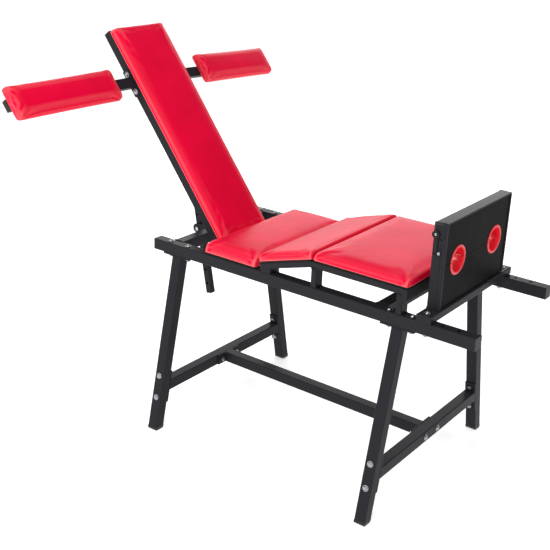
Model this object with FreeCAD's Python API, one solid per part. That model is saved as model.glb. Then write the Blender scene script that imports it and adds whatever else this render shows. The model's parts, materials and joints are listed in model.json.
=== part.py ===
import FreeCAD, Part
import math
import os

# Padded steel bench: a reclining back with two arm rests, a ridge-shaped leg
# rest and an upright ankle board with two holes that splits and opens.
# Millimetres. X runs along the bench from the back end to the ankle board,
# Y from the near side to the far side, Z up from the floor.
# Lengths along X are first laid out from the rails' rear ends, and every part
# is then shifted by ORIGIN_X so that the origin is under the bench's middle.

V = FreeCAD.Vector

ORIGIN_X = 442.0

# --- tubes -----------------------------------------------------------------
TUBE = 40.0             # main square tube
WALL = 2.0
CORNER = 3.0            # outer corner radius of every tube
FLAT = 20.0             # thickness of the 40 x 20 flat tube
PLATE = 5.0             # welded flange plates
FLANGE_LENGTH = 120.0
BOLT_OFFSET = 41.0      # bolt to tube centre on a flange

# --- bolts -----------------------------------------------------------------
BOLT_R = 5.0
BOLT_HOLE_R = 5.5
WASHER_R = 10.5
WASHER_T = 1.5
HEAD_R = 8.5
HEAD_H = 6.0
NUT_FLATS = 17.0
NUT_H = 8.0
BOLT_TAIL = 4.0

# --- rails and legs --------------------------------------------------------
RAIL_LENGTH = 1260.0
RAIL_OUTER_Y = 275.0
RAIL_TOP = 685.0
RAIL_MID_Y = RAIL_OUTER_Y - TUBE / 2
RAIL_INNER_Y = RAIL_OUTER_Y - TUBE
CAP_T = 3.0
LEG_X = (103.0, 1003.0)
LEG_TOP_Y = 253.0
LEG_FOOT_Y = 389.0
FOOT_CAP_H = 12.0
LEG_TOP_Z = RAIL_TOP - TUBE - PLATE
LEG_BOLT_DX = 40.0

# --- lower frame -----------------------------------------------------------
LOWER_TOP = 180.0
LOWER_MID = LOWER_TOP - TUBE / 2

# --- cross members between the rails ---------------------------------------
REAR_BAR_X = (61.0, 101.0)
SEAT_BAR_X = (320.0, 360.0)
FRONT_BAR_X = (902.0, 942.0)

# --- back rest, in its own frame: s up the slope, t out of the front --------
BACK_LEAN = 38.0        # degrees from upright
BACK_X = 191.7
BACK_Z = 697.6
BACK_LENGTH = 859.0
BACK_PAD_FOOT_S = -14.0
BACK_FRAME_Y = 130.0
BACK_PAD_Y = 135.0
BACK_TUBE = 30.0
BACK_TUBE_FRONT = -27.0
BACK_TUBE_REAR = BACK_TUBE_FRONT - BACK_TUBE
BACK_TUBE_MID = BACK_TUBE_FRONT - BACK_TUBE / 2
BACK_FOOT_S = -5.0
BOARD_T = 6.0
BACK_PAD_FRONT = 6.0
HINGE_S = 36.0
HINGE_ROD_R = 8.0
RUN_GAP = 0.05          # radial running clearance
BARREL_R = 13.0
LUG_Y = (58.0, 66.0)
BARREL_SPANS = ((-100.0, -67.0), (-57.0, 57.0), (67.0, 100.0))

# --- strut -----------------------------------------------------------------
STRUT_PIVOT_S = 330.7
STRUT_PIVOT_T = -75.0
STRUT_LEAN = 11.35      # degrees from upright, foot towards the bench
STRUT_TUBE = 25.0
STRUT_ABOVE = 10.0
STRUT_BELOW = 520.0
STRUT_HOLE_R = 5.5
STRUT_PITCH = 54.6
STRUT_FIRST_HOLE = 155.3
STRUT_HOLES = 7
LOCKED_HOLE = 2         # hole that lines up with the lock pin
EAR_GAP = 13.0          # ear's inner face from the middle plane
EAR_T = 5.0
CHEEK_GAP = 16.0
CHEEK_T = 5.0
LOCK_PIN_R = 5.0
LOCK_HEAD_H = 6.0
LOCK_FLATS = 14.0

# --- arm rests, in the back's frame ----------------------------------------
ARM_S = 652.0
ARM_BOLT_DS = 35.0
ARM_END_Y = 698.0
ARM_BAR_T = 20.0
ARM_PAD_Y = (229.0, 698.0)
ARM_PAD_HALF = 61.0
ARM_PAD_S = {-1: 650.0, 1: 657.0}   # the far pad sits a little higher
ARM_PAD_T = 24.0
ARM_BOARD_INSET = 14.0
ARM_FAR_YAW = 5.3       # the far bar is welded a few degrees further back

# --- seat and leg rest -----------------------------------------------------
PAD_Y = 272.0
SEAT_X = (222.0, 452.0)
SEAT_BOARD_T = 5.0
SEAT_PAD_T = 38.0
RIDGE_X = 673.0
LEG_FRAME_TOP = 772.0
THIGH_RISE = 0.296
THIGH_X = 476.0
CALF_X = (677.0, 1028.0)
POST_X = (689.0, 1003.0)
LEG_PAD_T = 25.0
LEG_BOARD_T = 5.0
END_BAR_T = 15.0
PAD_EDGE = 7.0          # edge radius of the soft pads

# --- ankle board -----------------------------------------------------------
BASE_X = (1066.0, 1116.0)
BASE_H = 25.0
BASE_TOP = RAIL_TOP + BASE_H
BASE_BOLT_X = 1091.0
ADJUST_PITCH = 54.0
ADJUST_R = 6.0
BOARD_Y = 217.0
BOARD_POST_X = (1066.0, 1096.0)
BOARD_POST_Y = 30.0
POST_TOP = 930.0
PANEL_X = (1096.0, 1108.0)
TOP_BAR_X = (1071.0, 1096.0)
TOP_BAR_Z = (933.0, 985.0)
TOP_BAR_CORNER = 1.0
TOP_CAP_CORNER = 5.0
PANEL_FOOT = 712.0
SPLIT_Z = 848.5
SPLIT_GAP = 0.5
HOLE_Y = 124.0
HOLE_R = 44.0
SLEEVE_OUT_R = 43.9
SLEEVE_IN_R = 38.0
SLEEVE_RIM_R = 48.5
SLEEVE_RIM_T = 3.0
SLEEVE_REAR_X = 1056.0
RIM_W = 5.0
RIM_PROUD = 2.5
RIM_CORNER = 3.0

# --- board hinge and latch -------------------------------------------------
LEAF_T = 1.5
BOARD_HINGE_Y = 222.2
KNUCKLE_R = 5.0
HINGE_PIN_R = 2.5
LATCH_PIVOT = (1076.0, 947.0)
LATCH_REACH = 58.9
LATCH_ANGLE = 14.7
LATCH_HALF = 7.0
LATCH_T = 3.0
STUD_R = 3.0
STUD_HEAD_R = 4.5
SCREW_HEAD_R = 6.5


# === building blocks =======================================================
def box(x, y, z):
    """Box from three (low, high) pairs."""
    return Part.makeBox(x[1] - x[0], y[1] - y[0], z[1] - z[0], V(x[0], y[0], z[0]))


def cylinder(start, direction, radius, length):
    return Part.makeCylinder(radius, length, V(*start), V(*direction))


def round_edges(shape, radius, axis):
    """Round the edges that run along one axis: 0 X, 1 Y, 2 Z."""
    chosen = []
    for edge in shape.Edges:
        if len(edge.Vertexes) != 2:
            continue
        step = edge.Vertexes[1].Point - edge.Vertexes[0].Point
        parts = [abs(step.x), abs(step.y), abs(step.z)]
        if parts[axis] > 0.99 * step.Length:
            chosen.append(edge)
    return shape.makeFillet(radius, chosen)


def tube(x, y, z, axis, wall=WALL, corner=CORNER):
    """Rectangular tube that fills the box and is open at both ends."""
    outer = round_edges(box(x, y, z), corner, axis)
    spans = [list(x), list(y), list(z)]
    for index in range(3):
        if index == axis:
            spans[index] = [spans[index][0] - 1, spans[index][1] + 1]
        else:
            spans[index] = [spans[index][0] + wall, spans[index][1] - wall]
    return outer.cut(box(*spans))


def prism_xz(points, y0, y1):
    """Polygon of (x, z) points, extruded from y0 to y1."""
    corners = [V(px, y0, pz) for px, pz in points]
    face = Part.Face(Part.makePolygon(corners + [corners[0]]))
    return face.extrude(V(0, y1 - y0, 0))


def prism_yz(points, x0, x1):
    """Polygon of (y, z) points, extruded from x0 to x1."""
    corners = [V(x0, py, pz) for py, pz in points]
    face = Part.Face(Part.makePolygon(corners + [corners[0]]))
    return face.extrude(V(x1 - x0, 0, 0))


def mirrored(shape):
    """The same part on the other side of the bench."""
    return shape.mirror(V(0, 0, 0), V(0, 1, 0))


def both_sides(shape):
    return [shape, mirrored(shape)]


def turned(shape, centre, axis, degrees):
    copy = shape.copy()
    copy.rotate(V(*centre), V(*axis), degrees)
    return copy


def soft(shape, radius=PAD_EDGE):
    """Round every edge of a pad."""
    return shape.makeFillet(radius, shape.Edges)


def hex_prism(height, flats):
    """Hexagonal bar that hangs down from Z = 0."""
    corner = flats / 2 / math.cos(math.radians(30))
    ring = [V(corner * math.cos(math.radians(60 * k)), corner * math.sin(math.radians(60 * k)), 0)
            for k in range(7)]
    return Part.Face(Part.makePolygon(ring)).extrude(V(0, 0, -height))


def bolt(grip, shank=BOLT_R, scale=1.0):
    """Domed bolt with washer and nut: head above Z = 0, shank down through the grip."""
    washer = cylinder((0, 0, 0), (0, 0, 1), WASHER_R * scale, WASHER_T)
    rim = HEAD_R * scale
    height = HEAD_H * scale
    sphere_r = (rim * rim + height * height) / (2 * height)
    sphere = Part.makeSphere(sphere_r, V(0, 0, WASHER_T + height - sphere_r))
    dome = sphere.common(cylinder((0, 0, WASHER_T), (0, 0, 1), rim, height))
    stem = cylinder((0, 0, WASHER_T), (0, 0, -1), shank, WASHER_T + grip + NUT_H + BOLT_TAIL)
    nut = hex_prism(NUT_H * scale, NUT_FLATS * scale)
    nut.translate(V(0, 0, -grip))
    return washer.fuse([dome, stem, nut]).removeSplitter()


def placed_bolt(seat, out, grip, shank=BOLT_R, scale=1.0):
    """Bolt with its head on the seat point and pointing out along a direction."""
    shape = bolt(grip, shank, scale)
    shape.Placement = FreeCAD.Placement(V(*seat), FreeCAD.Rotation(V(0, 0, 1), V(*out)))
    return shape


def drill(shape, start, direction, radius, length):
    return shape.cut(cylinder(start, direction, radius, length))


def export(name, solids):
    """Write one node, shifted so that the origin is under the bench's middle."""
    shapes = solids if isinstance(solids, list) else [solids]
    loose = []
    for shape in shapes:
        loose.extend(shape.Solids)
    group = loose[0] if len(loose) == 1 else Part.makeCompound(loose)
    moved = group.copy()
    moved.translate(V(-ORIGIN_X, 0, 0))
    moved.exportStep("parts/%s.step" % name)


# === side rails ============================================================
def rail_hole_xs():
    leg_bolts = [x + dx for x in LEG_X for dx in (-LEG_BOLT_DX, LEG_BOLT_DX)]
    adjust = [BASE_BOLT_X + ADJUST_PITCH * k for k in range(3)]
    return leg_bolts, adjust


def side_rail():
    """Far rail with its leg bolt holes and the three holes for the ankle board."""
    rail = tube((0, RAIL_LENGTH), (RAIL_INNER_Y, RAIL_OUTER_Y), (RAIL_TOP - TUBE, RAIL_TOP), 0)
    leg_bolts, adjust = rail_hole_xs()
    for x in leg_bolts:
        rail = drill(rail, (x, RAIL_MID_Y, RAIL_TOP + 1), (0, 0, -1), BOLT_HOLE_R, TUBE + 2)
    for x in adjust:
        rail = drill(rail, (x, RAIL_MID_Y, RAIL_TOP + 1), (0, 0, -1), ADJUST_R, TUBE + 2)
    return rail


def rail_end_caps():
    """Plastic plugs in the four rail ends."""
    caps = []
    for x, plug in ((-CAP_T, (0, 12)), (RAIL_LENGTH, (RAIL_LENGTH - 12, RAIL_LENGTH))):
        face = round_edges(box((x, x + CAP_T), (RAIL_INNER_Y, RAIL_OUTER_Y),
                               (RAIL_TOP - TUBE, RAIL_TOP)), CORNER, 0)
        stem = box(plug, (RAIL_INNER_Y + WALL, RAIL_OUTER_Y - WALL),
                   (RAIL_TOP - TUBE + WALL, RAIL_TOP - WALL))
        caps.extend(both_sides(face.fuse(stem)))
    return caps


# === legs ==================================================================
LEG_SLOPE = (LEG_FOOT_Y - LEG_TOP_Y) / LEG_TOP_Z
LEG_TILT = math.degrees(math.atan(LEG_SLOPE))
LEG_DOWN = V(0, math.sin(math.radians(LEG_TILT)), -math.cos(math.radians(LEG_TILT)))
LEG_OUT = V(0, math.cos(math.radians(LEG_TILT)), math.sin(math.radians(LEG_TILT)))


def leg_axis_point(z):
    """Centre of the far leg at a height."""
    return V(0, LEG_TOP_Y + (LEG_TOP_Z - z) * LEG_SLOPE, z)


def leg_bar(x, z_low, z_high, wall):
    """Leaning square bar or tube with level ends."""
    top = leg_axis_point(LEG_TOP_Z + 30)
    length = (LEG_TOP_Z + 60) / math.cos(math.radians(LEG_TILT))
    half = TUBE / 2
    if wall:
        bar = tube((-half, half), (-half, half), (-length, 0), 2)
    else:
        bar = box((WALL - half, half - WALL), (WALL - half, half - WALL), (-length, 0))
    bar.rotate(V(0, 0, 0), V(1, 0, 0), LEG_TILT)
    bar.translate(V(x, top.y, top.z))
    return bar.common(box((x - 100, x + 100), (0, 600), (z_low, z_high)))


def leg_cross_bolt_seats(x):
    """Where the two lower crossbar bolts enter the leg's outer face."""
    middle = leg_axis_point(LOWER_MID) + LEG_OUT * (TUBE / 2) + V(x, 0, 0)
    return [middle + LEG_DOWN * BOLT_OFFSET, middle - LEG_DOWN * BOLT_OFFSET]


def leg(x):
    """Far leg: tube and the plate that carries it under the rail."""
    body = leg_bar(x, FOOT_CAP_H, LEG_TOP_Z, True)
    for seat in leg_cross_bolt_seats(x):
        body = body.cut(Part.makeCylinder(BOLT_HOLE_R, TUBE + 4, seat + LEG_OUT * 2, LEG_OUT * -1))
    half = FLANGE_LENGTH / 2
    plate = box((x - half, x + half), (RAIL_INNER_Y, RAIL_OUTER_Y), (LEG_TOP_Z, LEG_TOP_Z + PLATE))
    for dx in (-LEG_BOLT_DX, LEG_BOLT_DX):
        plate = drill(plate, (x + dx, RAIL_MID_Y, LEG_TOP_Z - 1), (0, 0, 1), BOLT_HOLE_R, PLATE + 2)
    return [body, plate]


def foot_caps():
    """Plastic foot under each leg, chamfered where it meets the floor."""
    caps = []
    for x in LEG_X:
        top = leg_axis_point(FOOT_CAP_H).y
        low = leg_axis_point(0).y
        half = TUBE / 2
        wide = half / math.cos(math.radians(LEG_TILT))
        shell = prism_yz([(top - wide, FOOT_CAP_H), (top + wide, FOOT_CAP_H),
                          (low + wide - 1, 3), (low + wide - 5, 0),
                          (low - wide + 5, 0), (low - wide + 1, 3)], x - half, x + half)
        stem = leg_bar(x, FOOT_CAP_H, FOOT_CAP_H + 16, False)
        caps.extend(both_sides(shell.fuse(stem)))
    return caps


def leg_bolts():
    bolts = []
    for x in LEG_X:
        for dx in (-LEG_BOLT_DX, LEG_BOLT_DX):
            bolts.extend(both_sides(placed_bolt((x + dx, RAIL_MID_Y, RAIL_TOP), (0, 0, 1), TUBE + PLATE)))
    return bolts


# === lower frame ===========================================================
def flange_beside_leg(x):
    """Plate on the far leg's inner face, parallel to the leg."""
    half = FLANGE_LENGTH / 2
    plate = box((-TUBE / 2, TUBE / 2), (-PLATE, 0), (-half, half))
    for dz in (-BOLT_OFFSET, BOLT_OFFSET):
        plate = drill(plate, (0, -PLATE - 1, dz), (0, 1, 0), BOLT_HOLE_R, PLATE + 2)
    plate.rotate(V(0, 0, 0), V(1, 0, 0), LEG_TILT)
    spot = leg_axis_point(LOWER_MID) - LEG_OUT * (TUBE / 2) + V(x, 0, 0)
    plate.translate(spot)
    return plate


def lower_crossbar(x):
    """Square tube between a pair of legs, mitred to the leaning flanges."""
    spot = leg_axis_point(LOWER_MID) - LEG_OUT * (TUBE / 2 + PLATE)
    lean = math.tan(math.radians(LEG_TILT))
    half = TUBE / 2
    high = spot.y - lean * half
    low = spot.y + lean * half
    shape = tube((x - half, x + half), (-low - 5, low + 5), (LOWER_MID - half, LOWER_MID + half), 1)
    keep = prism_yz([(-high, LOWER_MID + half), (high, LOWER_MID + half),
                     (low, LOWER_MID - half), (-low, LOWER_MID - half)], x - half, x + half)
    bar = shape.common(keep)
    return_side = 1 if x < RAIL_LENGTH / 2 else -1
    for y in (-BOLT_OFFSET, BOLT_OFFSET):
        bar = drill(bar, (x - return_side * (half + 1), y, LOWER_MID), (return_side, 0, 0),
                    BOLT_HOLE_R, TUBE + 2)
    return [bar] + both_sides(flange_beside_leg(x))


def crossbar_bolts():
    bolts = []
    for x in LEG_X:
        for seat in leg_cross_bolt_seats(x):
            bolts.extend(both_sides(placed_bolt(tuple(seat), tuple(LEG_OUT), TUBE + PLATE)))
    return bolts


def stretcher():
    """Long low tube that ties the two lower crossbars together."""
    half = TUBE / 2
    start = LEG_X[0] + half
    end = LEG_X[1] - half
    bar = tube((start + PLATE, end - PLATE), (-half, half), (LOWER_MID - half, LOWER_MID + half), 0)
    solids = [bar]
    for x in (start, end - PLATE):
        plate = box((x, x + PLATE), (-FLANGE_LENGTH / 2, FLANGE_LENGTH / 2),
                    (LOWER_MID - half, LOWER_MID + half))
        for y in (-BOLT_OFFSET, BOLT_OFFSET):
            plate = drill(plate, (x - 1, y, LOWER_MID), (1, 0, 0), BOLT_HOLE_R, PLATE + 2)
        solids.append(plate)
    return solids


def stretcher_bolts():
    bolts = []
    half = TUBE / 2
    for y in (-BOLT_OFFSET, BOLT_OFFSET):
        bolts.append(placed_bolt((LEG_X[0] - half, y, LOWER_MID), (-1, 0, 0), TUBE + PLATE))
        bolts.append(placed_bolt((LEG_X[1] + half, y, LOWER_MID), (1, 0, 0), TUBE + PLATE))
    return bolts


# === cross members between the rails =======================================
def rail_crossbar(xs):
    return tube(xs, (-RAIL_INNER_Y, RAIL_INNER_Y), (RAIL_TOP - TUBE, RAIL_TOP), 1)


# === back rest =============================================================
def place_back(shape):
    """Lean a part that was laid out upright in the back's own frame."""
    copy = shape.copy()
    copy.rotate(V(0, 0, 0), V(0, 1, 0), -BACK_LEAN)
    copy.translate(V(BACK_X, 0, BACK_Z))
    return copy


def back_point(s, t):
    """(x, z) of a point given in the back's own frame."""
    lean = math.radians(BACK_LEAN)
    return (BACK_X - s * math.sin(lean) + t * math.cos(lean),
            BACK_Z + s * math.cos(lean) + t * math.sin(lean))


HINGE_X, HINGE_Z = back_point(HINGE_S, BACK_TUBE_MID)
PIVOT_X, PIVOT_Z = back_point(STRUT_PIVOT_S, STRUT_PIVOT_T)
BACK_TUBE_T = (BACK_TUBE_REAR, BACK_TUBE_FRONT)
BACK_INNER_Y = BACK_FRAME_Y - BACK_TUBE


def back_side_tubes():
    side = tube(BACK_TUBE_T, (BACK_INNER_Y, BACK_FRAME_Y), (BACK_FOOT_S, BACK_LENGTH), 2)
    for ds in (-ARM_BOLT_DS, ARM_BOLT_DS):
        side = drill(side, (BACK_TUBE_MID, BACK_INNER_Y - 1, ARM_S + ds), (0, 1, 0),
                     BOLT_HOLE_R, BACK_TUBE + 2)
    return [place_back(shape) for shape in both_sides(side)]


def back_cross_tubes():
    """Three rungs; the lowest carries the two ears of the strut pivot."""
    rungs = []
    for s in (STRUT_PIVOT_S, ARM_S, BACK_LENGTH - BACK_TUBE / 2):
        rungs.append(tube(BACK_TUBE_T, (-BACK_INNER_Y, BACK_INNER_Y),
                          (s - BACK_TUBE / 2, s + BACK_TUBE / 2), 1))
    ear = box((STRUT_PIVOT_T - 13, BACK_TUBE_REAR), (EAR_GAP, EAR_GAP + EAR_T),
              (STRUT_PIVOT_S - 13, STRUT_PIVOT_S + 13))
    ear = round_edges(ear, 5, 1)
    ear = drill(ear, (STRUT_PIVOT_T, EAR_GAP - 1, STRUT_PIVOT_S), (0, 1, 0), BOLT_R + RUN_GAP, EAR_T + 2)
    return [place_back(shape) for shape in rungs + both_sides(ear)]


def back_hinge_barrels():
    """Three barrels that turn on the hinge rod between the side tubes."""
    solids = []
    for low, high in BARREL_SPANS:
        barrel = cylinder((BACK_TUBE_MID, low, HINGE_S), (0, 1, 0), BARREL_R, high - low)
        barrel = drill(barrel, (BACK_TUBE_MID, low - 1, HINGE_S), (0, 1, 0),
                       HINGE_ROD_R + RUN_GAP, high - low + 2)
        solids.append(place_back(barrel))
    web = box((BACK_TUBE_MID + BARREL_R - 1, BACK_TUBE_FRONT), (-50, 50), (HINGE_S - 6, HINGE_S + 6))
    solids[1] = solids[1].fuse(place_back(web))
    return solids


def back_board():
    board = box((BACK_TUBE_FRONT, BACK_TUBE_FRONT + BOARD_T), (6 - BACK_PAD_Y, BACK_PAD_Y - 6),
                (6, BACK_LENGTH - 4))
    return place_back(round_edges(board, 10, 0))


def back_pad():
    pad = box((BACK_TUBE_FRONT + BOARD_T, BACK_PAD_FRONT), (-BACK_PAD_Y, BACK_PAD_Y),
              (BACK_PAD_FOOT_S, BACK_LENGTH))
    return place_back(soft(pad))


# === hinge and strut =======================================================
def hinge_lugs():
    """Plates from the rear crossbar that hold the hinge rod."""
    x = REAR_BAR_X[1]
    outline = [(x, RAIL_TOP - 38), (x, RAIL_TOP - 1), (HINGE_X - 12, HINGE_Z + 7),
               (HINGE_X - 7, HINGE_Z + 12), (HINGE_X + 7, HINGE_Z + 12), (HINGE_X + 12, HINGE_Z + 7),
               (HINGE_X + 12, HINGE_Z - 7), (HINGE_X + 6, HINGE_Z - 13)]
    lug = prism_xz(outline, LUG_Y[0], LUG_Y[1])
    lug = drill(lug, (HINGE_X, LUG_Y[0] - 1, HINGE_Z), (0, 1, 0), HINGE_ROD_R + RUN_GAP, 10)
    return both_sides(lug)


def hinge_rod():
    reach = BACK_INNER_Y - 1
    return cylinder((HINGE_X, -reach, HINGE_Z), (0, 1, 0), HINGE_ROD_R, 2 * reach)


def place_strut(shape):
    """Lean a part laid out hanging straight down from the strut pivot."""
    copy = shape.copy()
    copy.rotate(V(0, 0, 0), V(0, 1, 0), -STRUT_LEAN)
    copy.translate(V(PIVOT_X, 0, PIVOT_Z))
    return copy


def strut_point(distance):
    lean = math.radians(STRUT_LEAN)
    return PIVOT_X + distance * math.sin(lean), PIVOT_Z - distance * math.cos(lean)


LOCK_X, LOCK_Z = strut_point(STRUT_FIRST_HOLE + LOCKED_HOLE * STRUT_PITCH)


def strut():
    half = STRUT_TUBE / 2
    bar = tube((-half, half), (-half, half), (-STRUT_BELOW, STRUT_ABOVE), 2)
    bar = drill(bar, (0, -half - 1, 0), (0, 1, 0), BOLT_R + RUN_GAP, STRUT_TUBE + 2)
    for index in range(STRUT_HOLES):
        drop = STRUT_FIRST_HOLE + index * STRUT_PITCH
        bar = drill(bar, (0, -half - 1, -drop), (0, 1, 0), STRUT_HOLE_R, STRUT_TUBE + 2)
    return place_strut(bar)


def strut_end_cap():
    half = STRUT_TUBE / 2
    cap = round_edges(box((-half, half), (-half, half), (-STRUT_BELOW - 3, -STRUT_BELOW)), CORNER, 2)
    stem = box((WALL - half, half - WALL), (WALL - half, half - WALL), (-STRUT_BELOW, 10 - STRUT_BELOW))
    return place_strut(cap.fuse(stem))


def strut_pivot_bolt():
    reach = EAR_GAP + EAR_T
    return placed_bolt((PIVOT_X, -reach, PIVOT_Z), (0, -1, 0), 2 * reach, scale=0.9)


def strut_cheeks():
    """Two plates behind the rear crossbar that the strut passes between."""
    x = REAR_BAR_X[0]
    outline = [(x, RAIL_TOP - 38), (x, RAIL_TOP - 2), (LOCK_X + 20, LOCK_Z + 20),
               (LOCK_X - 14, LOCK_Z + 16), (LOCK_X - 22, LOCK_Z + 8), (LOCK_X - 22, LOCK_Z - 8),
               (LOCK_X - 14, LOCK_Z - 16), (LOCK_X + 20, LOCK_Z - 18)]
    cheek = prism_xz(outline, CHEEK_GAP, CHEEK_GAP + CHEEK_T)
    cheek = drill(cheek, (LOCK_X, CHEEK_GAP - 1, LOCK_Z), (0, 1, 0), LOCK_PIN_R + RUN_GAP, CHEEK_T + 2)
    return both_sides(cheek)


def lock_pin():
    """Locking bolt, drawn back so that its tip just clears the strut."""
    outer = CHEEK_GAP + CHEEK_T
    stem = cylinder((LOCK_X, -CHEEK_GAP, LOCK_Z), (0, -1, 0), LOCK_PIN_R, CHEEK_T + 2)
    head = hex_prism(LOCK_HEAD_H, LOCK_FLATS)
    head.Placement = FreeCAD.Placement(V(LOCK_X, -outer, LOCK_Z),
                                       FreeCAD.Rotation(V(0, 0, -1), V(0, -1, 0)))
    return stem.fuse(head).removeSplitter()


def lock_nut():
    """Nut welded to the far guide plate, which the locking bolt screws into."""
    nut = hex_prism(LOCK_HEAD_H, LOCK_FLATS)
    nut.Placement = FreeCAD.Placement(V(LOCK_X, CHEEK_GAP + CHEEK_T, LOCK_Z),
                                      FreeCAD.Rotation(V(0, 0, -1), V(0, 1, 0)))
    return drill(nut, (LOCK_X, CHEEK_GAP, LOCK_Z), (0, 1, 0), LOCK_PIN_R + RUN_GAP, 30)


# === arm rests =============================================================
def arm_bar_plain():
    """Far arm bar laid square to the back: tube and bolted flange."""
    bar = tube((BACK_TUBE_MID - ARM_BAR_T / 2, BACK_TUBE_MID + ARM_BAR_T / 2),
               (BACK_FRAME_Y, ARM_END_Y - CAP_T), (ARM_S - TUBE / 2, ARM_S + TUBE / 2), 1)
    plate = box(BACK_TUBE_T, (BACK_FRAME_Y, BACK_FRAME_Y + PLATE), (ARM_S - 52, ARM_S + 52))
    plate = round_edges(plate, 4, 1)
    for ds in (-ARM_BOLT_DS, ARM_BOLT_DS):
        plate = drill(plate, (BACK_TUBE_MID, BACK_FRAME_Y - 1, ARM_S + ds), (0, 1, 0),
                      BOLT_HOLE_R, PLATE + 2)
    return bar, plate


def yawed(shape, degrees):
    """Swing an arm part about the upright line where its bar meets the flange."""
    return turned(shape, (BACK_TUBE_MID, BACK_FRAME_Y + PLATE, 0), (0, 0, 1), degrees)


def arm_bar(side):
    bar, plate = arm_bar_plain()
    if side > 0:
        bar = yawed(bar, ARM_FAR_YAW)
    keep = box((-400, 400), (BACK_FRAME_Y + PLATE, 900), (0, 900))
    solids = [bar.common(keep), plate]
    if side < 0:
        solids = [mirrored(shape) for shape in solids]
    return [place_back(shape) for shape in solids]


def on_arm(shape, side):
    """Put a part laid out on the far bar onto one of the two bars."""
    return place_back(yawed(shape, ARM_FAR_YAW) if side > 0 else mirrored(shape))


def arm_bar_cap(side):
    half_t = ARM_BAR_T / 2
    face = box((BACK_TUBE_MID - half_t, BACK_TUBE_MID + half_t), (ARM_END_Y - CAP_T, ARM_END_Y),
               (ARM_S - TUBE / 2, ARM_S + TUBE / 2))
    face = round_edges(face, CORNER, 1)
    stem = box((BACK_TUBE_MID - half_t + WALL, BACK_TUBE_MID + half_t - WALL),
               (ARM_END_Y - CAP_T - 10, ARM_END_Y - CAP_T),
               (ARM_S - TUBE / 2 + WALL, ARM_S + TUBE / 2 - WALL))
    return on_arm(face.fuse(stem), side)


def arm_board(side):
    front = BACK_TUBE_MID + ARM_BAR_T / 2
    reach = ARM_PAD_HALF - ARM_BOARD_INSET
    board = box((front, front + LEG_BOARD_T),
                (ARM_PAD_Y[0] + ARM_BOARD_INSET, ARM_PAD_Y[1] - ARM_BOARD_INSET),
                (ARM_PAD_S[side] - reach, ARM_PAD_S[side] + reach))
    return on_arm(round_edges(board, 6, 0), side)


def arm_pad(side):
    front = BACK_TUBE_MID + ARM_BAR_T / 2 + LEG_BOARD_T
    pad = box((front, front + ARM_PAD_T), ARM_PAD_Y,
              (ARM_PAD_S[side] - ARM_PAD_HALF, ARM_PAD_S[side] + ARM_PAD_HALF))
    return on_arm(soft(pad), side)


def arm_bolts():
    bolts = []
    for ds in (-ARM_BOLT_DS, ARM_BOLT_DS):
        seat = (BACK_TUBE_MID, BACK_FRAME_Y + PLATE, ARM_S + ds)
        bolts.extend(both_sides(placed_bolt(seat, (0, 1, 0), BACK_TUBE + PLATE)))
    return [place_back(shape) for shape in bolts]


# === seat and leg rest =====================================================
def thigh_line(x):
    """Height of the thigh frame's top at a place along the bench."""
    return LEG_FRAME_TOP + (x - RIDGE_X) * THIGH_RISE


def seat_board():
    return box((SEAT_X[0] + 6, SEAT_X[1] - 6), (6 - PAD_Y, PAD_Y - 6), (RAIL_TOP, RAIL_TOP + SEAT_BOARD_T))


def seat_pad():
    low = RAIL_TOP + SEAT_BOARD_T
    high = low + SEAT_PAD_T
    outline = [(SEAT_X[0], low), (SEAT_X[1] - 2, low), (SEAT_X[1] + 4, high), (SEAT_X[0] + 4, high)]
    return soft(prism_xz(outline, -PAD_Y, PAD_Y))


def thigh_frame():
    """Two sloping flat tubes from the rails to the ridge, with one rung."""
    drop = FLAT * math.sqrt(1 + THIGH_RISE ** 2)
    span = (THIGH_X, CALF_X[0])
    outline = [(span[0], thigh_line(span[0])), (span[1], thigh_line(span[1])),
               (span[1], thigh_line(span[1]) - drop), (span[0], thigh_line(span[0]) - drop)]
    side = round_long_edges(prism_xz(outline, RAIL_INNER_Y, RAIL_OUTER_Y))
    foot_end = span[0] + 40
    foot = prism_xz([(span[0], RAIL_TOP), (foot_end, RAIL_TOP), (foot_end, thigh_line(foot_end) - drop),
                     (span[0], thigh_line(span[0]) - drop)], RAIL_INNER_Y + 2, RAIL_OUTER_Y - 2)
    rung_end = span[0] + 38
    rung = prism_xz([(span[0], thigh_line(span[0])), (rung_end, thigh_line(rung_end)),
                     (rung_end, thigh_line(rung_end) - drop), (span[0], thigh_line(span[0]) - drop)],
                    -RAIL_INNER_Y, RAIL_INNER_Y)
    return both_sides(side) + both_sides(foot) + [rung]


def round_long_edges(shape):
    """Round the four edges of a sloping bar that run up the slope."""
    chosen = []
    for edge in shape.Edges:
        step = edge.Vertexes[1].Point - edge.Vertexes[0].Point
        if abs(step.x) > 0.5 * step.Length:
            chosen.append(edge)
    return shape.makeFillet(CORNER, chosen)


def sloping_slab(x0, x1, low, high, half_y, end_low=0.0):
    """Slab that follows the thigh slope, its faces low and high above the frame."""
    return prism_xz([(x0 + end_low, thigh_line(x0 + end_low) + low), (x1, thigh_line(x1) + low),
                     (x1, thigh_line(x1) + high), (x0, thigh_line(x0) + high)], -half_y, half_y)


def thigh_board():
    return sloping_slab(THIGH_X - 10, RIDGE_X - 6, 0, LEG_BOARD_T, PAD_Y - 6)


def thigh_pad():
    return soft(sloping_slab(SEAT_X[1] + 8, RIDGE_X + 1, LEG_BOARD_T, LEG_BOARD_T + LEG_PAD_T, PAD_Y, 4))


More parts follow.
